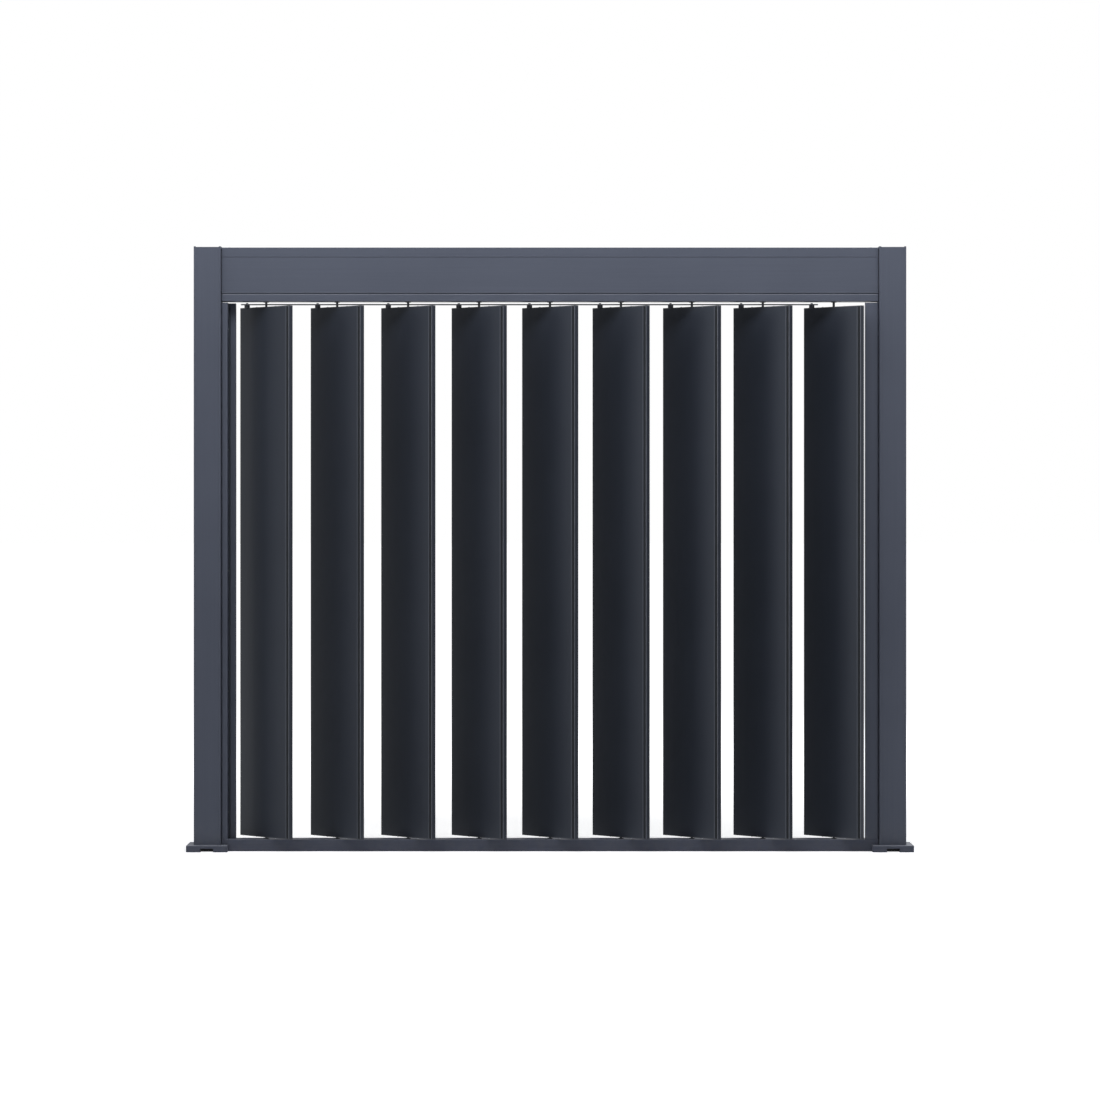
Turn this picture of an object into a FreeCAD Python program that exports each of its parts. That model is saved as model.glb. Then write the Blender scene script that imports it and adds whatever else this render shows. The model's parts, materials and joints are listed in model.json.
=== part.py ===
import FreeCAD, Part
import math
import os

# Louvred panel partition: two posts, a beam, a framed opening and a row of linked upright blades.
# Millimetres, +Z up, +X to the right, +Y to the back, origin on the floor at the middle of the bay.

Vector = FreeCAD.Vector

# Blades and their spacing
blade_count = 9
blade_pitch = 294.0
blade_width = 311.0
blade_thickness = 20.0
blade_wall = 2.0
blade_web_place = 40.0
blade_edge_chamfer = 0.8
blade_open_angle = 45.0

# Seal along the near edge of each blade
seal_rib = 4.2
seal_groove_width = 11.7
seal_groove_depth = 4.0
seal_recess = 1.0
seal_foot_width = 8.0
seal_crest_width = 4.0
seal_rise = 1.5
seal_fit = 0.1
closing_gap = 0.3

# Blade end caps, with the pivots and the crank stud cast on
end_cap_thickness = 4.0
end_cap_spigot = 24.0
end_cap_fit = 0.3
pivot_diameter = 10.0
pivot_tip_gap = 2.0
crank_reach = 115.0
crank_offset = 6.0
crank_stud_diameter = 8.0
crank_stud_end = 2.9
crank_lug_width = 16.0
crank_lug_height = 10.5

# Pivot bushes in the rails, closed at the far end so that the lower ones carry the blades
bush_flange_width = 22.0
bush_flange_height = 3.0
bush_sleeve_width = 16.0
bush_sleeve_length = 18.0
bush_floor = 2.0
bush_hole_fit = 0.1
bush_lift = 3.0
running_fit = 0.05
thrust_gap = 0.2

# Drive rod
rod_width = 14.0
rod_thickness = 5.0
rod_overhang = 26.0
rod_end_chamfer = 4.0
rod_running_fit = 0.1
rod_gap = 0.3
rod_head_clearance = 2.0

# Side channels and their seals
channel_leg = 26.5
channel_flange = 29.5
channel_flange_depth = 28.0
channel_wall = 2.0
channel_edge_chamfer = 1.2
channel_top_gap = 5.5
channel_groove_width = 5.0
channel_groove_depth = 12.0
tip_clearance = 1.2
jamb_seal_width = 7.0
jamb_seal_inset = 0.8
jamb_seal_chamfer = 2.5
jamb_seal_gap = 0.5

# Posts, their front covers and caps
post_height = 2500.0
post_side = 112.0
post_wall = 3.0
post_corner_chamfer = 2.5
post_lip = 8.5
post_fit = 0.3
cover_seam = 0.3
cover_drop = 2.6
cover_hook_reach = 2.0
cover_hook_wall = 2.0
cap_thickness = 3.0
cap_drop = 0.4
cap_skirt = 14.0
cap_wall = 2.0

# Feet
foot_plate_side = 150.0
foot_plate_thickness = 8.0
foot_anchor_spacing = 130.0
foot_anchor_hole = 11.0
foot_sleeve_wall = 5.0
foot_sleeve_height = 110.0
foot_cover_side = 170.0
foot_cover_height = 27.5
foot_cover_wall = 2.5
foot_cover_chamfer = 0.8
foot_cover_fit = 0.5
outlet_width = 53.0
outlet_height = 15.0

# Beam and the brackets that hook it to the posts
frame_recess = 14.0
beam_drop = 4.0
beam_height = 189.5
beam_wall = 3.0
beam_edge_chamfer = 2.0
beam_end_gap = 2.5
beam_line_drop = 40.0
beam_line_width = 2.0
beam_line_depth = 1.6
bracket_wall = 6.0
bracket_length = 60.0
bracket_fit = 0.3
hook_width = 24.0
hook_height = 34.0
hook_lip = 12.0
hook_thickness = 6.0
hook_spacing = 90.0
hook_fit = 0.3

# Head rail and sill rail
head_rail_height = 33.0
head_rail_wall = 2.5
head_groove_height = 3.0
head_groove_depth = 4.0
rail_edge_chamfer = 1.2
sill_height = 49.0
sill_wall = 2.5
sill_foot_gap = 0.5

# Room that every cut runs past the faces it opens
past = 1.0

# Places that follow from the sizes above
blade_half = blade_width / 2
face_offset = blade_thickness / 2
row_half = (blade_count - 1) / 2 * blade_pitch
pivot_places = [index * blade_pitch - row_half for index in range(blade_count)]
channel_face = row_half + math.hypot(blade_half, face_offset) + tip_clearance
opening_half = channel_face + channel_leg
post_half = post_side / 2
post_inner = post_half - post_wall
post_slot = post_half - post_lip
post_x = opening_half + post_half
hook_room = post_inner - post_fit - cover_hook_wall - post_fit
frame_half = post_half - frame_recess
frame_end = opening_half - beam_end_gap

beam_top = post_height - beam_drop
beam_bottom = beam_top - beam_height
hook_middle = beam_bottom + (beam_height - hook_height) / 2
hook_seats = [hook_middle - hook_spacing / 2, hook_middle + hook_spacing / 2]
head_bottom = beam_bottom - head_rail_height
blade_bottom = sill_height + bush_flange_height + bush_lift
crank_stack = crank_lug_height + rod_gap + rod_thickness + crank_stud_end
blade_top = head_bottom - rod_head_clearance - crank_stack
rod_bottom = blade_top + crank_lug_height + rod_gap
channel_top = head_bottom - channel_top_gap

closed_tilt = math.asin((blade_thickness + seal_rise + closing_gap) / blade_pitch)
groove_end = blade_half - seal_rib
groove_start = groove_end - seal_groove_width
groove_middle = (groove_start + groove_end) / 2


def rectangle(x0, x1, y0, y1):
    return [(x0, y0), (x1, y0), (x1, y1), (x0, y1)]


def square(width):
    return rectangle(-width / 2, width / 2, -width / 2, width / 2)


def outline(points, chamfers=None):
    """Flat face through the points, with each corner cut by its own chamfer."""
    corners = [Vector(*point, 0) for point in points]
    chamfers = chamfers or [0] * len(corners)
    turns = []
    for index, (corner, chamfer) in enumerate(zip(corners, chamfers)):
        if chamfer == 0:
            turns.append(corner)
            continue
        before = corners[index - 1] - corner
        after = corners[(index + 1) % len(corners)] - corner
        turns.append(corner + before.normalize() * chamfer)
        turns.append(corner + after.normalize() * chamfer)
    return Part.Face(Part.makePolygon(turns + turns[:1]))


def upright(face, low, high):
    """Straight bar of the face's section, standing from low to high."""
    bar = face.extrude(Vector(0, 0, high - low))
    bar.translate(Vector(0, 0, low))
    return bar


def lengthwise(face):
    """Bar between the posts whose section was drawn with Y across and Z up."""
    bar = face.extrude(Vector(0, 0, 2 * frame_end))
    bar.rotate(Vector(0, 0, 0), Vector(1, 1, 1), 120)
    bar.translate(Vector(-frame_end, 0, 0))
    return bar


def block(x0, x1, y0, y1, z0, z1):
    return Part.makeBox(x1 - x0, y1 - y0, z1 - z0, Vector(x0, y0, z0))


def cylinder(diameter, x, y, low, high):
    return Part.makeCylinder(diameter / 2, high - low, Vector(x, y, low))


def upside_down(shape, low, high):
    """Turns a piece over about its X axis, so that what lay at low comes to lie at high."""
    turned = shape.copy()
    turned.rotate(Vector(0, 0, low), Vector(1, 0, 0), 180)
    turned.translate(Vector(0, 0, high - low))
    return turned


def half_turn(shape):
    """The same piece turned half round about the bay's middle."""
    turned = shape.copy()
    turned.rotate(Vector(0, 0, 0), Vector(0, 0, 1), 180)
    return turned


def mirrored(shape):
    """The piece for the other end of the bay."""
    return shape.mirror(Vector(0, 0, 0), Vector(1, 0, 0))


def moved(shape, x, y=0):
    copy = shape.copy()
    copy.translate(Vector(x, y, 0))
    return copy


def in_row(shape):
    """One copy of a piece at every pivot."""
    return Part.makeCompound([moved(shape, place) for place in pivot_places])


# Posts and feet, each drawn about the post's own axis, for the right end of the bay

def outlet():
    """Low way through the front of the foot, for water or a cable."""
    half = outlet_width / 2
    front = -foot_cover_side / 2 - past
    back = -hook_room + foot_sleeve_wall + past
    return block(-half, half, front, back, -past, outlet_height)


def post():
    """Square tube, open along its front between two lips, with slots for the beam's hooks."""
    outer = outline(square(post_side), [post_corner_chamfer] * 4)
    shape = upright(outer.cut(outline(square(2 * post_inner))), foot_plate_thickness, post_height)
    cuts = [block(-post_slot, post_slot, -post_half - past, -post_inner, 0, post_height + past)]
    half = hook_width / 2 + hook_fit
    for seat in hook_seats:
        top = seat + hook_height + hook_lip + hook_fit
        cuts.append(block(-post_half - past, -post_inner + past, -half, half, seat, top))
    return shape.cut(Part.makeCompound(cuts))


def post_cover():
    """Snap-in front strip with a hook behind each lip of the post."""
    edge = post_slot - cover_seam
    top = post_height - cover_drop
    hook_top = top - cap_drop - cap_thickness - post_fit
    hook_front = -post_inner + post_fit
    hook_back = hook_front + cover_hook_wall
    hook_edge = post_slot + cover_hook_reach
    inside = edge - cover_hook_wall
    strip = block(-edge, edge, -post_half, -post_inner, foot_plate_thickness, top)
    leg = block(inside, edge, -post_inner, hook_back, foot_plate_thickness, hook_top)
    hook = block(inside, hook_edge, hook_front, hook_back, foot_plate_thickness, hook_top)
    side = leg.fuse(hook)
    return strip.fuse([side, mirrored(side)]).removeSplitter().cut(outlet())


def post_cap():
    """Lid that drops into the top of the post, on a skirt."""
    half = post_inner - post_fit
    inner = half - cap_wall
    top = post_height - cover_drop - cap_drop
    bottom = top - cap_thickness
    low = bottom - cap_skirt
    lid = block(-half, half, -half, half, bottom, top)
    skirt = block(-half, half, -hook_room, half, low, bottom)
    hollow = block(-inner, inner, -hook_room + cap_wall, inner, low - past, bottom)
    return lid.fuse(skirt.cut(hollow)).removeSplitter()


def foot_plate():
    """Base plate with anchor holes and a welded sleeve that stands inside the post."""
    half = post_inner - post_fit
    inner = half - foot_sleeve_wall
    top = foot_plate_thickness
    high = top + foot_sleeve_height
    plate = upright(outline(square(foot_plate_side)), 0, top)
    sleeve = block(-half, half, -hook_room, half, top, high)
    hollow = block(-inner, inner, -hook_room + foot_sleeve_wall, inner, top, high + past)
    shape = plate.fuse(sleeve.cut(hollow)).removeSplitter()
    cuts = [outlet()]
    for x, y in square(foot_anchor_spacing):
        cuts.append(cylinder(foot_anchor_hole, x, y, -past, top + past))
    return shape.cut(Part.makeCompound(cuts))


def foot_cover():
    """Square shell round the foot of the post, with an outlet at its front."""
    shape = upright(outline(square(foot_cover_side)), 0, foot_cover_height)
    top_edges = [edge for edge in shape.Edges if edge.BoundBox.ZMin > foot_cover_height / 2]
    shape = shape.makeChamfer(foot_cover_chamfer, top_edges)
    room = square(foot_cover_side - 2 * foot_cover_wall)
    shape = shape.cut(upright(outline(room), -past, foot_cover_height - foot_cover_wall))
    hole = square(post_side + 2 * foot_cover_fit)
    return shape.cut(upright(outline(hole), 0, foot_cover_height + past)).cut(outlet())


# Beam, brackets and rails

def box_rail(low, high, wall, chamfer):
    """Hollow rail of the frame's depth between the posts."""
    outer = outline(rectangle(-frame_half, frame_half, low, high), [chamfer] * 4)
    inside = frame_half - wall
    inner = outline(rectangle(-inside, inside, low + wall, high - wall))
    return lengthwise(outer.cut(inner))


def top_beam():
    """Hollow beam with a fine line along its front and back."""
    shape = box_rail(beam_bottom, beam_top, beam_wall, beam_edge_chamfer)
    low = beam_top - beam_line_drop - beam_line_width / 2
    bottom = frame_half - beam_line_depth
    line = block(-opening_half, opening_half, bottom, frame_half + past, low, low + beam_line_width)
    return shape.cut(Part.makeCompound([line, half_turn(line)]))


def beam_bracket():
    """Right channel inside the beam's end, with two hooks that hang in the post's slots."""
    half = frame_half - beam_wall - bracket_fit
    low = beam_bottom + beam_wall + bracket_fit
    high = beam_top - beam_wall - bracket_fit
    start = opening_half - bracket_length
    face = opening_half - bracket_wall
    behind = opening_half + post_wall + hook_fit
    width = hook_width / 2
    body = block(start, opening_half, -half, half, low, high)
    room = block(start - past, face, -half - past, half + past, low + bracket_wall, high - bracket_wall)
    hooks = []
    for seat in hook_seats:
        top = seat + hook_height
        hooks.append(block(opening_half, behind, -width, width, seat, top))
        hooks.append(block(behind, behind + hook_thickness, -width, width, seat - hook_lip, top))
    return body.cut(room).fuse(hooks).removeSplitter()


def bush_holes(low, high):
    """Square holes for the pivot bushes along a rail."""
    return in_row(upright(outline(square(bush_sleeve_width + 2 * bush_hole_fit)), low, high))


def head_rail():
    """Hollow rail under the beam, stepped in at the top to leave a shadow groove."""

    def section(inset):
        side = frame_half - inset
        neck = side - head_groove_depth
        low = head_bottom + inset
        high = beam_bottom - inset
        shelf = high - head_groove_height
        return [
            (-side, low), (side, low), (side, shelf), (neck, shelf),
            (neck, high), (-neck, high), (-neck, shelf), (-side, shelf),
        ]

    chamfer = rail_edge_chamfer
    outer = outline(section(0), [chamfer, chamfer, chamfer, 0, 0, 0, 0, chamfer])
    shape = lengthwise(outer.cut(outline(section(head_rail_wall))))
    return shape.cut(bush_holes(head_bottom - past, head_bottom + head_rail_wall + past))


def sill_rail():
    """Hollow rail on the floor, cut back at each end over the foot covers."""
    shape = box_rail(0, sill_height, sill_wall, rail_edge_chamfer)
    foot_edge = post_x - foot_cover_side / 2 - sill_foot_gap
    high = foot_cover_height + sill_foot_gap
    notch = block(foot_edge, opening_half, -frame_half - past, frame_half + past, -past, high)
    holes = bush_holes(sill_height - sill_wall - past, sill_height + past)
    return shape.cut(Part.makeCompound([notch, mirrored(notch), holes]))


def lower_bush():
    """Flanged bush that stands in the sill rail, with a blind bore."""
    low = sill_height - bush_sleeve_length
    high = sill_height + bush_flange_height
    flange = upright(outline(square(bush_flange_width)), sill_height, high)
    sleeve = upright(outline(square(bush_sleeve_width)), low, sill_height)
    bore = cylinder(pivot_diameter + 2 * running_fit, 0, 0, low + bush_floor, high + past)
    return flange.fuse(sleeve).cut(bore)


# Side channels and jamb seals

def side_channel():
    """Right L channel: a grooved leg on the post, and a front flange that the last blade closes behind."""

    def section(inset):
        edge = channel_face - channel_flange + inset
        face = channel_face + inset
        seat = opening_half - inset
        neck = seat - channel_groove_width
        back = frame_half - inset
        shelf = back - channel_groove_depth
        stop = -frame_half + channel_flange_depth - inset
        return [
            (edge, -back), (neck, -back), (neck, -shelf), (seat, -shelf), (seat, shelf),
            (neck, shelf), (neck, back), (face, back), (face, stop), (edge, stop),
        ]

    chamfer = channel_edge_chamfer
    outer = outline(section(0), [chamfer, 0, 0, 0, 0, 0, 0, chamfer, 0, chamfer])
    return upright(outer.cut(outline(section(channel_wall))), sill_height, channel_top)


def closed_depth(along, across):
    """Y on the near half of a closed blade: along its width, and across towards its seal face."""
    return across * math.cos(closed_tilt) - along * math.sin(closed_tilt)


def jamb_seal(crest):
    """Right strip on the channel's flange, as deep as the closed blade beside it asks."""
    base = -frame_half + channel_flange_depth
    right = channel_face - jamb_seal_inset
    left = right - jamb_seal_width
    section = outline(rectangle(left, right, base, crest), [0, 0, jamb_seal_chamfer, jamb_seal_chamfer])
    return upright(section, sill_height, blade_top - end_cap_thickness)


# Blades, drawn flat along X with the near edge at +X and the seal face at -Y

def between_caps(section):
    return upright(section, blade_bottom + end_cap_thickness, blade_top - end_cap_thickness)


def blade():
    """Hollow blade with two webs and a seal groove along its near edge."""
    floor = -face_offset + seal_groove_depth
    points = [
        (-blade_half, -face_offset), (groove_start, -face_offset), (groove_start, floor),
        (groove_end, floor), (groove_end, -face_offset), (blade_half, -face_offset),
        (blade_half, face_offset), (-blade_half, face_offset),
    ]
    chamfer = blade_edge_chamfer
    section = outline(points, [chamfer, 0, 0, 0, 0, chamfer, chamfer, chamfer])
    inside = face_offset - blade_wall
    half_web = blade_wall / 2
    chambers = [
        (-blade_half + blade_wall, -blade_web_place - half_web),
        (-blade_web_place + half_web, blade_web_place - half_web),
        (blade_web_place + half_web, groove_start - blade_wall),
    ]
    for start, end in chambers:
        section = section.cut(outline(rectangle(start, end, -inside, inside)))
    return between_caps(section)


def blade_seal():
    """Rubber strip in the blade's groove, with a low crest that stands proud of the face."""
    left = groove_start + seal_fit
    right = groove_end - seal_fit
    floor = -face_offset + seal_groove_depth - seal_fit
    face = -face_offset + seal_recess
    proud = -face_offset - seal_rise
    foot = seal_foot_width / 2
    crest = seal_crest_width / 2
    points = [
        (left, floor), (left, face), (groove_middle - foot, face), (groove_middle - crest, proud),
        (groove_middle + crest, proud), (groove_middle + foot, face), (right, face), (right, floor),
    ]
    return between_caps(outline(points))


def plain_cap():
    """Cap on a blade's lower end, with a spigot in the blade's middle chamber."""
    section = rectangle(-blade_half, blade_half, -face_offset, face_offset)
    shoulder = blade_bottom + end_cap_thickness
    chamber = blade_web_place - blade_wall / 2 - end_cap_fit
    inside = face_offset - blade_wall - end_cap_fit
    plate = upright(outline(section, [blade_edge_chamfer] * 4), blade_bottom, shoulder)
    spigot = block(-chamber, chamber, -inside, inside, shoulder, shoulder + end_cap_spigot)
    return plate.fuse(spigot)


def bottom_cap():
    """Cap with the lower pivot, which stands on the floor of its bush."""
    tip = sill_height - bush_sleeve_length + bush_floor + thrust_gap
    pivot = cylinder(pivot_diameter, 0, 0, tip, blade_bottom)
    return plain_cap().fuse(pivot)


def top_cap():
    """Cap with the upper pivot, and a lug and stud for the drive rod on its far half."""
    low = blade_top - end_cap_thickness
    lug_top = blade_top + crank_lug_height
    stud_top = rod_bottom + rod_thickness + crank_stud_end
    tip = head_bottom + bush_sleeve_length - bush_floor - pivot_tip_gap
    lug = upright(outline(square(crank_lug_width)), low, lug_top)
    stud = cylinder(crank_stud_diameter, 0, 0, lug_top, stud_top)
    crank = moved(lug.fuse(stud), -crank_reach, -crank_offset)
    pivot = cylinder(pivot_diameter, 0, 0, blade_top, tip)
    cap = upside_down(plain_cap(), blade_bottom, blade_top)
    return cap.fuse([crank, pivot]).removeSplitter()


def opened(shape, place):
    """Turns a piece drawn flat into the open position of the blade at that pivot."""
    turned = shape.copy()
    turned.rotate(Vector(0, 0, 0), Vector(0, 0, 1), -blade_open_angle)
    return moved(turned, place)


def drive_rod():
    """Flat rod that joins the crank studs of all blades."""
    turn = math.radians(blade_open_angle)
    x = -crank_reach * math.cos(turn) - crank_offset * math.sin(turn)
    y = crank_reach * math.sin(turn) - crank_offset * math.cos(turn)
    half_length = row_half + rod_overhang
    half_width = rod_width / 2
    rod_top = rod_bottom + rod_thickness
    section = rectangle(-half_length, half_length, -half_width, half_width)
    bar = upright(outline(section, [rod_end_chamfer] * 4), rod_bottom, rod_top)
    bore = cylinder(crank_stud_diameter + 2 * rod_running_fit, 0, 0, rod_bottom - past, rod_top + past)
    return moved(bar.cut(in_row(bore)), x, y)


def write(name, shape):
    shape.exportStep("parts/" + name + ".step")


def write_pair(name, right, left):
    write("right_" + name, right)
    write("left_" + name, left)


os.makedirs("parts", exist_ok=True)

post_pieces = {
    "post": post(),
    "post_cover": post_cover(),
    "post_cap": post_cap(),
    "foot_plate": foot_plate(),
    "foot_cover": foot_cover(),
}
for name, piece in post_pieces.items():
    right_piece = moved(piece, post_x)
    write_pair(name, right_piece, mirrored(right_piece))

right_bracket = beam_bracket()
write("top_beam", top_beam())
write_pair("beam_bracket", right_bracket, mirrored(right_bracket))
write("head_rail", head_rail())
write("sill_rail", sill_rail())
write("lower_pivot_bushes", in_row(lower_bush()))
write("upper_pivot_bushes", in_row(upside_down(lower_bush(), sill_height, head_bottom)))

right_channel = side_channel()
seal_edge = blade_half + tip_clearance - jamb_seal_inset - jamb_seal_width
right_crest = -closed_depth(seal_edge, face_offset) - jamb_seal_gap
left_crest = -closed_depth(groove_middle, face_offset + seal_rise) - jamb_seal_gap
write_pair("side_channel", right_channel, half_turn(right_channel))
write_pair("jamb_seal", jamb_seal(right_crest), half_turn(jamb_seal(left_crest)))

blade_pieces = {
    "": blade(),
    "_seal": blade_seal(),
    "_top_cap": top_cap(),
    "_bottom_cap": bottom_cap(),
}
for number, place in enumerate(pivot_places, start=1):
    for ending, piece in blade_pieces.items():
        write("blade_" + str(number) + ending, opened(piece, place))

write("drive_rod", drive_rod())
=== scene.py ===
import json
import math

import bmesh
import bpy
from mathutils import Matrix, Vector

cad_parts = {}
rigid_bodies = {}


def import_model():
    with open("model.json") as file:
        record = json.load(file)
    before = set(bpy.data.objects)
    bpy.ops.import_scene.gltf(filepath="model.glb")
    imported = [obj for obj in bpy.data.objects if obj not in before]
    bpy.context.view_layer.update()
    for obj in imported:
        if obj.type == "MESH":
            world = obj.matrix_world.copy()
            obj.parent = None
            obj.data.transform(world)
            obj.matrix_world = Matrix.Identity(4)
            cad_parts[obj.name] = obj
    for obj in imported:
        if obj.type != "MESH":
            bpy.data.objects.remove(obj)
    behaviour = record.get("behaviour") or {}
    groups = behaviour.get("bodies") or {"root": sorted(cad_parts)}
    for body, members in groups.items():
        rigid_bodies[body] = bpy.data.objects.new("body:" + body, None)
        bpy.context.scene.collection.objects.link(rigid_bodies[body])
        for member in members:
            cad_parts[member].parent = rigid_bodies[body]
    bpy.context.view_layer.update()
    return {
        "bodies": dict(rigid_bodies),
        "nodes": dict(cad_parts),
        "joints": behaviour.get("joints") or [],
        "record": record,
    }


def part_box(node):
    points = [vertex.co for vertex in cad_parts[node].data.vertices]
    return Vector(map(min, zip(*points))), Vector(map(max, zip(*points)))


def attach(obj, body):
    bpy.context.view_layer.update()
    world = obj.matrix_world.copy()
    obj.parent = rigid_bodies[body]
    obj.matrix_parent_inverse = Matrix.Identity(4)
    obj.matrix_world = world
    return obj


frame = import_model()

# Louvred panel partition: finishes, small fasteners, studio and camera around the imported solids.
# Metres, in the frame of the solids: +X right, +Y back, +Z up.

nodes = frame["nodes"]
blade_names = sorted(name for name in frame["bodies"] if name.startswith("blade_"))
joint_of = {joint["child"]: joint for joint in frame["joints"]}
blade_lean = math.radians(-45)
blade_pitch = 0.294

# Camera, matched to the photograph
camera_distance = 15.0
camera_height = 1.432
camera_lens = 118.88
camera_sensor = 36.0
camera_shift = -0.041

# Studio
floor_radius = 120.0
floor_segments = 96
floor_drop = 0.0004
floor_colour = (0.82, 0.82, 0.82, 1)
# Painted shade on the floor inside the feet, with the floor's glow kept for a strip just inside each outlet
foot_shade_colour = (0.02, 0.02, 0.02, 1)
foot_edge = 0.001
outlet_half = 0.0265
outlet_light = 0.04
no_light = (0, 0, 0, 1)
floor_glow_near = (0.6, 0.6, 0.6, 1)
floor_glow_far = (1, 1, 1, 1)
floor_glow_start = 1.2
floor_glow_end = 5.0
ambient_front = (0.112, 0.115, 0.12, 1)
ambient_back = (0.0465, 0.048, 0.05, 1)
background_white = (1, 1, 1, 1)
lamp_colour = (0.97, 0.985, 1.0)
lamps = (
    {
        "name": "high_front_lamp", "place": (0, -1.6, 4.2), "target": (0, 0, 1.0),
        "width": 9.0, "height": 1.2, "power": 190,
    },
    {
        "name": "left_front_lamp", "place": (-13.0, -4.2, 3.0), "target": (0, 0, 1.3),
        "width": 5.0, "height": 4.0, "power": 160,
    },
    {
        "name": "right_back_lamp", "place": (5.0, 6.5, 4.5), "target": (0, 0, 1.2),
        "width": 5.0, "height": 3.0, "power": 330,
    },
)

# Finishes, as linear colours
coat_dark = (0.0625, 0.0695, 0.0945, 1)
coat_light = (0.0805, 0.089, 0.119, 1)
matt_dark = (0.065, 0.0705, 0.097, 1)
matt_light = (0.082, 0.0895, 0.122, 1)
# Painted highlight: the pale colour that the rim bands blend towards
highlight_colour = (0.19, 0.2, 0.235, 1)
sheen_tint = (0.86, 0.92, 1.0, 1)
seal_tint = (0.78, 0.88, 1.0, 1)
# Blade coat painted darker than the frame's coat: painted shade on the blades
blade_shaded_dark = (0.0122, 0.0152, 0.0235, 1)
blade_shaded_light = (0.017, 0.0208, 0.0315, 1)
cast_dark = (0.026, 0.029, 0.039, 1)
cast_light = (0.036, 0.040, 0.052, 1)
dust_colour = (0.16, 0.155, 0.145, 1)
rubber_dark = (0.008, 0.008, 0.009, 1)
rubber_light = (0.017, 0.017, 0.018, 1)
jamb_dark = (0.024, 0.027, 0.034, 1)
jamb_light = (0.036, 0.04, 0.05, 1)
plastic_dark = (0.012, 0.012, 0.013, 1)
plastic_light = (0.022, 0.022, 0.024, 1)
black_steel_dark = (0.016, 0.016, 0.018, 1)
black_steel_light = (0.034, 0.034, 0.038, 1)
anodised_dark = (0.085, 0.088, 0.1, 1)
anodised_light = (0.14, 0.145, 0.16, 1)
stainless_dark = (0.36, 0.37, 0.39, 1)
stainless_light = (0.52, 0.53, 0.55, 1)
spring_dark = (0.05, 0.05, 0.055, 1)
spring_light = (0.1, 0.1, 0.105, 1)

# How rough, shiny and dusty the finishes are, and how sharp the edges of their painted highlight bands are
coat_rough = 0.5
coat_sheen = 0.3
matt_sheen = 0.2
blade_rough = 0.33
blade_sheen = 0.38
seal_sheen = 0.34
rod_rough = 0.3
screw_rough = 0.26
clip_rough = 0.34
upright_dust = 0.22
low_dust = 0.16
dust_height = 0.16
rim_core = 0.6
along_x = (0.01, 1, 1)
along_z = (1, 1, 0.01)


class Shade:
    """A value in a node tree; sums and products of shades add their Math nodes."""

    def __init__(self, tree, socket=None):
        self.tree = tree
        self.socket = socket

    def node(self, kind, settings=None, inputs=None, output=0):
        made = self.tree.nodes.new(kind)
        for name, value in (settings or {}).items():
            if name == "stops":
                for stop, (place, level) in zip(made.color_ramp.elements, value):
                    stop.position = place
                    stop.color = (level, level, level, 1)
            else:
                setattr(made, name, value)
        for name, value in (inputs or {}).items():
            if isinstance(value, Shade):
                self.tree.links.new(value.socket, made.inputs[name])
            else:
                made.inputs[name].default_value = value
        return Shade(self.tree, made.outputs[output] if made.outputs else None)

    def math(self, operation, first, second):
        return self.node("ShaderNodeMath", {"operation": operation}, {0: first, 1: second})

    def __add__(self, other):
        return self.math("ADD", self, other)

    def __radd__(self, other):
        return self.math("ADD", other, self)

    def __sub__(self, other):
        return self.math("SUBTRACT", self, other)

    def __rsub__(self, other):
        return self.math("SUBTRACT", other, self)

    def __mul__(self, other):
        return self.math("MULTIPLY", self, other)

    def __rmul__(self, other):
        return self.math("MULTIPLY", other, self)


# Textures that the finishes share

def noise(place, scale, detail=2.0):
    """Soft noise from 0 to 1, with its middle near one half."""
    inputs = {"Vector": place, "Scale": scale, "Detail": detail, "Roughness": 0.55}
    return place.node("ShaderNodeTexNoise", None, inputs)


def stretched(place, squeeze):
    """The same place squeezed along an axis, so that noise turns into streaks along it."""
    return place.node("ShaderNodeVectorMath", {"operation": "MULTIPLY"}, {0: place, 1: squeeze})


def contrast(value, low, high):
    return value.node("ShaderNodeValToRGB", {"stops": ((low, 0), (high, 1))}, {"Fac": value})


def blend_colour(factor, first, second):
    inputs = {0: factor, 6: first, 7: second}
    return factor.node("ShaderNodeMix", {"data_type": "RGBA"}, inputs, 2)


def relief(height, strength, depth):
    inputs = {"Height": height, "Strength": strength, "Distance": depth}
    return height.node("ShaderNodeBump", None, inputs)


def finish_material(name, surface):
    """Material whose Principled sockets take what surface(place) gives, by socket name."""
    material = bpy.data.materials.new(name)
    material.use_nodes = True
    tree = material.node_tree
    shader = tree.nodes["Principled BSDF"]
    place = Shade(tree).node("ShaderNodeTexCoord", output="Object")
    for socket, value in surface(place).items():
        if isinstance(value, Shade):
            tree.links.new(value.socket, shader.inputs[socket])
        else:
            shader.inputs[socket].default_value = value
    return material


# Finishes

def height_of(place):
    return place.node("ShaderNodeSeparateXYZ", None, {"Vector": place}, "Z")


def reach_of(place):
    """Distance from a blade's pivot towards its near edge, and a metre more on the plain side."""
    x = place.node("ShaderNodeSeparateXYZ", None, {"Vector": place}, "X")
    y = place.node("ShaderNodeSeparateXYZ", None, {"Vector": place}, "Y")
    beside_pivot = x.math("FLOORED_MODULO", x + 0.5 * blade_pitch, blade_pitch) - 0.5 * blade_pitch
    along = math.cos(blade_lean) * beside_pivot + math.sin(blade_lean) * y
    across = math.cos(blade_lean) * y - math.sin(blade_lean) * beside_pivot
    return along + across.math("GREATER_THAN", across, 0.0)


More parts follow.
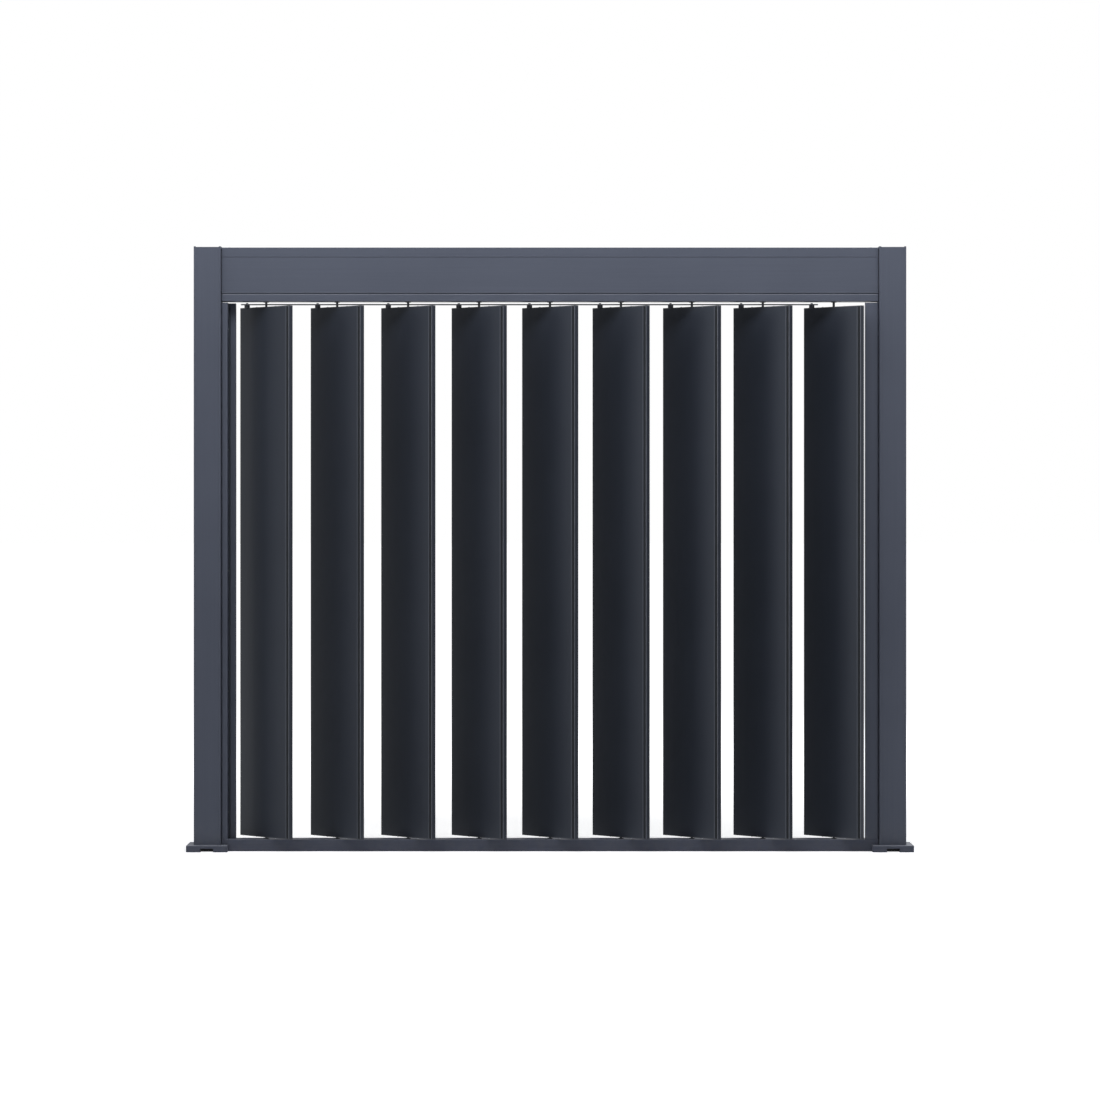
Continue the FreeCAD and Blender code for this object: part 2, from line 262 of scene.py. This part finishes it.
def powder_coat(name, dark, light, squeeze, rough, sheen, dusty=0.0, painted_highlights=()):
    """Satin powder coat: orange peel, faint drawing lines, dust near the floor and painted highlights along
    rims.
    """

    def surface(place):
        peel = noise(place, 620, 1.5)
        fleck = noise(place, 2400, 0.5)
        cloud = noise(place, 1.6, 4)
        line = noise(stretched(place, squeeze), 160, 3)
        tone = 0.5 * cloud + 0.2 * fleck + 0.3 * line
        colour = blend_colour(contrast(tone, 0.3, 0.7), dark, light)
        if dusty:
            height = height_of(place)
            low = height.node(
                "ShaderNodeMapRange", {"clamp": True},
                {"Value": height, "From Min": 0.0, "From Max": dust_height, "To Min": dusty, "To Max": 0.0},
            )
            patches = contrast(noise(place, 38, 5), 0.35, 0.75)
            colour = blend_colour(low * patches, colour, dust_colour)
        # Painted highlights: each band lightens the coat towards a pale colour along a rim or groove
        for rim in painted_highlights:
            way = rim["measure"](place) - rim["middle"]
            distance = way.math("MAXIMUM", way, -1 * way)
            core = rim_core * rim["half"]
            highlight_mask = distance.node(
                "ShaderNodeMapRange", {"clamp": True},
                {"Value": distance, "From Min": rim["half"], "From Max": core, "To Max": rim["amount"]},
            )
            colour = blend_colour(highlight_mask * (0.7 + 0.6 * cloud), colour, highlight_colour)
        return {
            "Base Color": colour,
            "Roughness": rough + 0.1 * cloud + 0.06 * fleck,
            "Normal": relief(peel + 0.35 * line, 0.22, 0.00025),
            "Specular IOR Level": sheen,
            "Specular Tint": sheen_tint,
        }

    return finish_material(name, surface)


def cast_coat():
    """Coated casting of the end caps: coarser skin than the drawn profiles."""

    def surface(place):
        skin = noise(place, 380, 4)
        pits = contrast(noise(place, 900, 1), 0.36, 0.44)
        cloud = noise(place, 9, 3)
        tone = contrast(0.6 * cloud + 0.4 * skin, 0.3, 0.7)
        return {
            "Base Color": blend_colour(tone, cast_dark, cast_light),
            "Roughness": 0.46 + 0.16 * skin,
            "Normal": relief(skin + 0.4 * pits, 0.35, 0.0003),
        }

    return finish_material("end_cap_casting", surface)


def seal_rubber(name, dark, light):
    """Extruded rubber: matt, with fine lines along its length and a little bloom."""

    def surface(place):
        line = noise(stretched(place, along_z), 1500, 2)
        bloom = noise(place, 26, 5)
        return {
            "Base Color": blend_colour(contrast(bloom, 0.42, 0.8), dark, light),
            "Roughness": 0.66 + 0.2 * bloom,
            "Normal": relief(line, 0.3, 0.0002),
            "Specular IOR Level": seal_sheen,
            "Specular Tint": seal_tint,
        }

    return finish_material(name, surface)


def bush_plastic():
    """Moulded bearing plastic with a fine spark-eroded grain."""

    def surface(place):
        grain = noise(place, 1300, 2)
        cloud = noise(place, 45, 3)
        return {
            "Base Color": blend_colour(contrast(cloud, 0.35, 0.7), plastic_dark, plastic_light),
            "Roughness": 0.44 + 0.14 * grain,
            "Normal": relief(grain, 0.25, 0.00015),
        }

    return finish_material("bush_plastic", surface)


def black_steel():
    """Black passivated zinc on steel, with the zinc's spangle faintly under it."""

    def surface(place):
        cells = {"Vector": place, "Scale": 120}
        spangle = place.node("ShaderNodeTexVoronoi", {"feature": "F1"}, cells, "Color")
        crystal = spangle.node("ShaderNodeSeparateColor", None, {"Color": spangle}, "Red")
        stain = noise(place, 14, 5)
        tone = 0.6 * crystal + 0.4 * stain
        return {
            "Base Color": blend_colour(tone, black_steel_dark, black_steel_light),
            "Metallic": 1.0,
            "Roughness": 0.42 + 0.16 * crystal,
            "Normal": relief(noise(place, 300, 3), 0.12, 0.0002),
        }

    return finish_material("black_steel", surface)


def drawn_metal(name, dark, light, squeeze, rough):
    """Bare metal with fine lines along the way that it was drawn or turned."""

    def surface(place):
        line = noise(stretched(place, squeeze), 900, 3)
        smear = noise(place, 55, 4)
        tone = contrast(0.6 * line + 0.4 * smear, 0.3, 0.7)
        return {
            "Base Color": blend_colour(tone, dark, light),
            "Metallic": 1.0,
            "Roughness": rough + 0.14 * smear,
            "Normal": relief(line, 0.18, 0.0001),
        }

    return finish_material(name, surface)


# Painted highlights along rims and in the beam's line groove, as bands of a measure: their middle, half
# their width and their amount

head_groove = 0.003
head_rim_drop = 0.0014
beam_rim_rise = 0.0022
beam_line_drop = 0.04
seal_rib_reach = 0.1531
groove_rim_reach = 0.135
foot_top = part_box("left_foot_cover")[1].z
sill_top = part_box("sill_rail")[1].z
beam_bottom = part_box("top_beam")[0].z
beam_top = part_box("top_beam")[1].z
head_shelf = beam_bottom - head_groove
foot_rim = {"measure": height_of, "middle": foot_top, "half": 0.0033, "amount": 0.8}
sill_rim = {"measure": height_of, "middle": sill_top, "half": 0.0042, "amount": 0.12}
head_rim = {"measure": height_of, "middle": head_shelf - head_rim_drop, "half": 0.002, "amount": 0.6}
beam_rim = {"measure": height_of, "middle": beam_bottom + beam_rim_rise, "half": 0.0025, "amount": 0.2}
# Painted highlight: lightens the beam's line groove, which lies in shade
beam_line_highlight = {"measure": height_of, "middle": beam_top - beam_line_drop, "half": 0.0014, "amount": 0.2}
# Painted highlights along each blade's near-edge rib and beside its seal groove
seal_rib = {"measure": reach_of, "middle": seal_rib_reach, "half": 0.0022, "amount": 0.6}
groove_rim = {"measure": reach_of, "middle": groove_rim_reach, "half": 0.0027, "amount": 0.24}

coats = {
    "frame_upright": powder_coat(
        "upright_coat", coat_dark, coat_light, along_z, coat_rough, coat_sheen, upright_dust),
    "top_beam": powder_coat(
        "beam_coat", coat_dark, coat_light, along_x, coat_rough, coat_sheen, painted_highlights=[beam_rim, beam_line_highlight]),
    "head_rail": powder_coat(
        "head_coat", coat_dark, coat_light, along_x, coat_rough, coat_sheen, painted_highlights=[head_rim]),
    "sill_rail": powder_coat(
        "sill_coat", matt_dark, matt_light, along_x, coat_rough, matt_sheen, low_dust, [sill_rim]),
    "foot_cover": powder_coat(
        "foot_coat", matt_dark, matt_light, along_x, coat_rough, matt_sheen, low_dust, [foot_rim]),
    "blade_coat": powder_coat(
        "blade_coat", blade_shaded_dark, blade_shaded_light, along_z, blade_rough, blade_sheen,
        painted_highlights=[seal_rib, groove_rim]),
    "cap_metal": cast_coat(),
    "rod_metal": drawn_metal("anodised_rod", anodised_dark, anodised_light, along_x, rod_rough),
    "black_steel": black_steel(),
    "bush_plastic": bush_plastic(),
    "seal_rubber": seal_rubber("seal_rubber", rubber_dark, rubber_light),
    "jamb_rubber": seal_rubber("jamb_rubber", jamb_dark, jamb_light),
    "stainless": drawn_metal("stainless_screw", stainless_dark, stainless_light, along_z, screw_rough),
    "spring_steel": drawn_metal("spring_clip", spring_dark, spring_light, along_z, clip_rough),
}
own_coats = ("top_beam", "head_rail", "sill_rail", "foot_cover")
slot_of = {row["node"]: row["material_slot"] for row in frame["record"]["subparts"]}
for name, piece in nodes.items():
    finish = slot_of[name]
    if finish == "frame_coat":
        finish = next((own for own in own_coats if name.endswith(own)), "frame_upright")
    if name.endswith("jamb_seal"):
        finish = "jamb_rubber"
    piece.data.materials.clear()
    piece.data.materials.append(coats[finish])


# Small fasteners, turned in mesh code and joined by the body that carries them

turn_steps = 24
sharp_angle = math.radians(40)
up = (0, 0, 1)
down = (0, 0, -1)
backwards = (0, 1, 0)


def ring_radius(radius, six_sided, turn):
    """Radius of a ring at that turn: round, or six-sided for a wrench socket."""
    if not six_sided:
        return radius
    side = math.pi / 3
    return radius * math.cos(side / 2) / math.cos(turn % side - side / 2)


def turned(mesh, place, profile):
    """Closed turned solid through rings of (radius, height, six-sided), set down at place."""
    rings = []
    for radius, height, six_sided in profile:
        ring = []
        for step in range(turn_steps):
            turn = 2 * math.pi * step / turn_steps
            reach = ring_radius(radius, six_sided, turn)
            point = Vector((reach * math.cos(turn), reach * math.sin(turn), height))
            ring.append(mesh.verts.new(place @ point))
        rings.append(ring)
    for low, high in zip(rings[:-1], rings[1:]):
        for step in range(turn_steps):
            after = (step + 1) % turn_steps
            face = mesh.faces.new((low[step], low[after], high[after], high[step]))
            face.smooth = True
    mesh.faces.new(reversed(rings[0]))
    mesh.faces.new(rings[-1])


def dome_screw(radius, height, socket):
    """Profile of a button-head screw with a hexagon socket."""
    return (
        (radius, 0, False), (radius, 0.22 * height, False), (0.93 * radius, 0.55 * height, False),
        (0.78 * radius, 0.84 * height, False), (0.6 * radius, height, False),
        (socket, 0.97 * height, True), (0.96 * socket, 0.3 * height, True),
    )


def flush_screw(radius, rise, socket):
    """Profile of what shows of a countersunk screw: a thin rim and its socket."""
    return (
        (radius, 0, False), (radius, 0.5 * rise, False), (0.94 * radius, rise, False),
        (socket, rise, True), (0.96 * socket, 0.1 * rise, True),
    )


def standing(point, way):
    """Place of a turned piece that stands on a face at that point and points that way."""
    return Matrix.Translation(point) @ Vector(way).to_track_quat("Z", "Y").to_matrix().to_4x4()


def fastener_set(name, body, finish, placed):
    """One object of turned pieces, each given as (place, profile), that rides on a body."""
    mesh = bmesh.new()
    for place, profile in placed:
        turned(mesh, place, profile)
    bmesh.ops.recalc_face_normals(mesh, faces=mesh.faces)
    data = bpy.data.meshes.new(name)
    mesh.to_mesh(data)
    mesh.free()
    data.materials.append(coats[finish])
    data.set_sharp_from_angle(angle=sharp_angle)
    piece = bpy.data.objects.new(name, data)
    bpy.context.scene.collection.objects.link(piece)
    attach(piece, body)


clip_gap = 0.0003
clip_rings = (
    (0.0042, 0), (0.0063, 0), (0.0065, 0.0003), (0.0063, 0.0006), (0.0054, 0.0008),
    (0.0051, 0.0013), (0.005, 0.0026), (0.0045, 0.0033), (0.003, 0.0036), (0.0008, 0.0037),
)
clip_profile = [(radius, height, False) for radius, height in clip_rings]
cap_screw = dome_screw(radius=0.004, height=0.0022, socket=0.0014)
cap_screw_places = (-0.06, 0.06)
cap_thickness = 0.004
rod_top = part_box("drive_rod")[1].z
stud_place = Vector(joint_of["drive_rod"]["pos_m"]) - Vector(joint_of["blade_5"]["pos_m"])

for name in blade_names:
    pivot = Vector(joint_of[name]["pos_m"])
    stud = Vector((pivot.x + stud_place.x, pivot.y + stud_place.y, rod_top + clip_gap))
    fastener_set(name + "_rod_clip", name, "spring_steel", [(standing(stud, up), clip_profile)])
    blade_low, blade_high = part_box(name)
    cap_top = blade_high.z + cap_thickness
    cap_bottom = blade_low.z - cap_thickness
    screws = []
    for along in cap_screw_places:
        x = pivot.x + along * math.cos(blade_lean)
        y = pivot.y + along * math.sin(blade_lean)
        screws.append((standing(Vector((x, y, cap_top)), up), cap_screw))
        screws.append((standing(Vector((x, y, cap_bottom)), down), cap_screw))
    fastener_set(name + "_cap_screws", name, "stainless", screws)

channel_screw = flush_screw(radius=0.0045, rise=0.0004, socket=0.002)
foot_screw = dome_screw(radius=0.0055, height=0.003, socket=0.002)
beam_screw = dome_screw(radius=0.005, height=0.0026, socket=0.0018)
channel_screw_heights = (0.16, 0.66, 1.16, 1.66, 2.16)
foot_screw_heights = (0.05, 0.095)
foot_screw_spread = 0.03
beam_screw_inset = 0.03
beam_screw_spread = 0.022
channel_leg = 0.0265
leg_middle = 0.014

for side, sign in (("left", -1), ("right", 1)):
    channel_low, channel_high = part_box(side + "_side_channel")
    outer_face = channel_high.x if sign > 0 else channel_low.x
    inner_face = outer_face - sign * channel_leg
    screws = []
    for height in channel_screw_heights:
        point = Vector((inner_face, sign * leg_middle, height))
        screws.append((standing(point, (-sign, 0, 0)), channel_screw))
    fastener_set(side + "_channel_screws", "frame", "stainless", screws)

    post_low, post_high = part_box(side + "_post")
    middle = (post_low.x + post_high.x) / 2
    screws = []
    for height in foot_screw_heights:
        for shift in (-foot_screw_spread, foot_screw_spread):
            point = Vector((middle + shift, post_high.y, height))
            screws.append((standing(point, backwards), foot_screw))
    fastener_set(side + "_foot_screws", "frame", "stainless", screws)

    beam_low, beam_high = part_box("top_beam")
    end = beam_high.x if sign > 0 else beam_low.x
    screws = []
    for shift in (-beam_screw_spread, beam_screw_spread):
        point = Vector((end - sign * beam_screw_inset, shift, beam_high.z))
        screws.append((standing(point, up), beam_screw))
    fastener_set(side + "_beam_screws", "frame", "stainless", screws)


# Studio: white floor and surroundings, a wide lamp high in front, and soft ones from left and behind

def seen_directly(shade):
    """One where the camera, a reflection or glass looks, and nought for light that falls on things."""
    camera = shade.node("ShaderNodeLightPath", output="Is Camera Ray")
    glossy = shade.node("ShaderNodeLightPath", output="Is Glossy Ray")
    through = shade.node("ShaderNodeLightPath", output="Is Transmission Ray")
    total = camera + glossy + through
    return total.math("MINIMUM", total, 1.0)


def studio_floor():
    """White floor that shows as the background, with painted shade on it inside the two feet."""
    foot_low, foot_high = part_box("right_foot_cover")
    foot_middle = ((foot_low.x + foot_high.x) / 2, 0, 0)
    foot_half = foot_high.y - foot_edge
    mesh = bmesh.new()
    bmesh.ops.create_circle(mesh, cap_ends=True, segments=floor_segments, radius=floor_radius)
    data = bpy.data.meshes.new("studio_floor")
    mesh.to_mesh(data)
    mesh.free()
    floor = bpy.data.objects.new("studio_floor", data)
    floor.location.z = -floor_drop
    bpy.context.scene.collection.objects.link(floor)
    material = bpy.data.materials.new("studio_floor")
    material.use_nodes = True
    tree = material.node_tree
    tree.nodes.clear()
    start = Shade(tree)
    place = start.node("ShaderNodeTexCoord", output="Object")
    reach = place.node("ShaderNodeVectorMath", {"operation": "LENGTH"}, {0: place}, "Value")
    far = reach.node(
        "ShaderNodeMapRange", {"interpolation_type": "SMOOTHSTEP"},
        {"Value": reach, "From Min": floor_glow_start, "From Max": floor_glow_end},
    )
    mirrored = place.node("ShaderNodeVectorMath", {"operation": "ABSOLUTE"}, {0: place})
    from_foot = place.node("ShaderNodeVectorMath", {"operation": "SUBTRACT"}, {0: mirrored, 1: foot_middle})
    offset = place.node("ShaderNodeVectorMath", {"operation": "ABSOLUTE"}, {0: from_foot})
    beside = offset.node("ShaderNodeSeparateXYZ", None, {"Vector": offset}, "X")
    before = offset.node("ShaderNodeSeparateXYZ", None, {"Vector": offset}, "Y")
    in_outlet = beside.math("LESS_THAN", beside, outlet_half)
    farther = beside.math("MAXIMUM", beside, before)
    outside = farther.math("GREATER_THAN", farther, foot_half - outlet_light * in_outlet)
    # Painted shade: the floor inside each foot is dark and does not glow, but for a strip just inside each
    # outlet
    ground = blend_colour(outside, foot_shade_colour, floor_colour)
    matt = start.node("ShaderNodeBsdfDiffuse", None, {"Color": ground})
    level = blend_colour(far, floor_glow_near, floor_glow_far)
    seen = blend_colour(outside * seen_directly(start), no_light, level)
    glow = start.node("ShaderNodeEmission", None, {"Color": seen})
    both = start.node("ShaderNodeAddShader", None, {0: matt, 1: glow})
    start.node("ShaderNodeOutputMaterial", None, {"Surface": both})
    data.materials.append(material)


def studio_world():
    world = bpy.data.worlds.new("studio_world")
    world.use_nodes = True
    tree = world.node_tree
    tree.nodes.clear()
    start = Shade(tree)
    way = start.node("ShaderNodeTexCoord", output="Generated")
    depth = way.node("ShaderNodeSeparateXYZ", None, {"Vector": way}, "Y")
    ambient_level = blend_colour(0.5 + 0.5 * depth, ambient_front, ambient_back)
    ambient = start.node("ShaderNodeBackground", None, {"Color": ambient_level, "Strength": 1.0})
    white = start.node("ShaderNodeBackground", None, {"Color": background_white, "Strength": 1.0})
    mixed = start.node("ShaderNodeMixShader", None, {0: seen_directly(start), 1: ambient, 2: white})
    start.node("ShaderNodeOutputWorld", None, {"Surface": mixed})
    bpy.context.scene.world = world


def soft_lamp(name, place, target, width, height, power):
    data = bpy.data.lights.new(name, "AREA")
    data.shape = "RECTANGLE"
    data.size = width
    data.size_y = height
    data.energy = power
    data.color = lamp_colour
    lamp = bpy.data.objects.new(name, data)
    lamp.location = place
    lamp.rotation_mode = "QUATERNION"
    lamp.rotation_quaternion = (Vector(target) - Vector(place)).to_track_quat("-Z", "Y")
    lamp.visible_camera = False
    bpy.context.scene.collection.objects.link(lamp)


def photo_camera():
    data = bpy.data.cameras.new("photo_camera")
    data.sensor_width = camera_sensor
    data.lens = camera_lens
    data.shift_y = camera_shift
    data.clip_end = 2 * floor_radius
    camera = bpy.data.objects.new("photo_camera", data)
    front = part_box("left_post")[0].y
    camera.location = (0, front - camera_distance, camera_height)
    camera.rotation_euler = (math.pi / 2, 0, 0)
    bpy.context.scene.collection.objects.link(camera)
    bpy.context.scene.camera = camera


studio_floor()
studio_world()
for lamp in lamps:
    soft_lamp(**lamp)
photo_camera()
bpy.context.scene.view_settings.view_transform = "Standard"
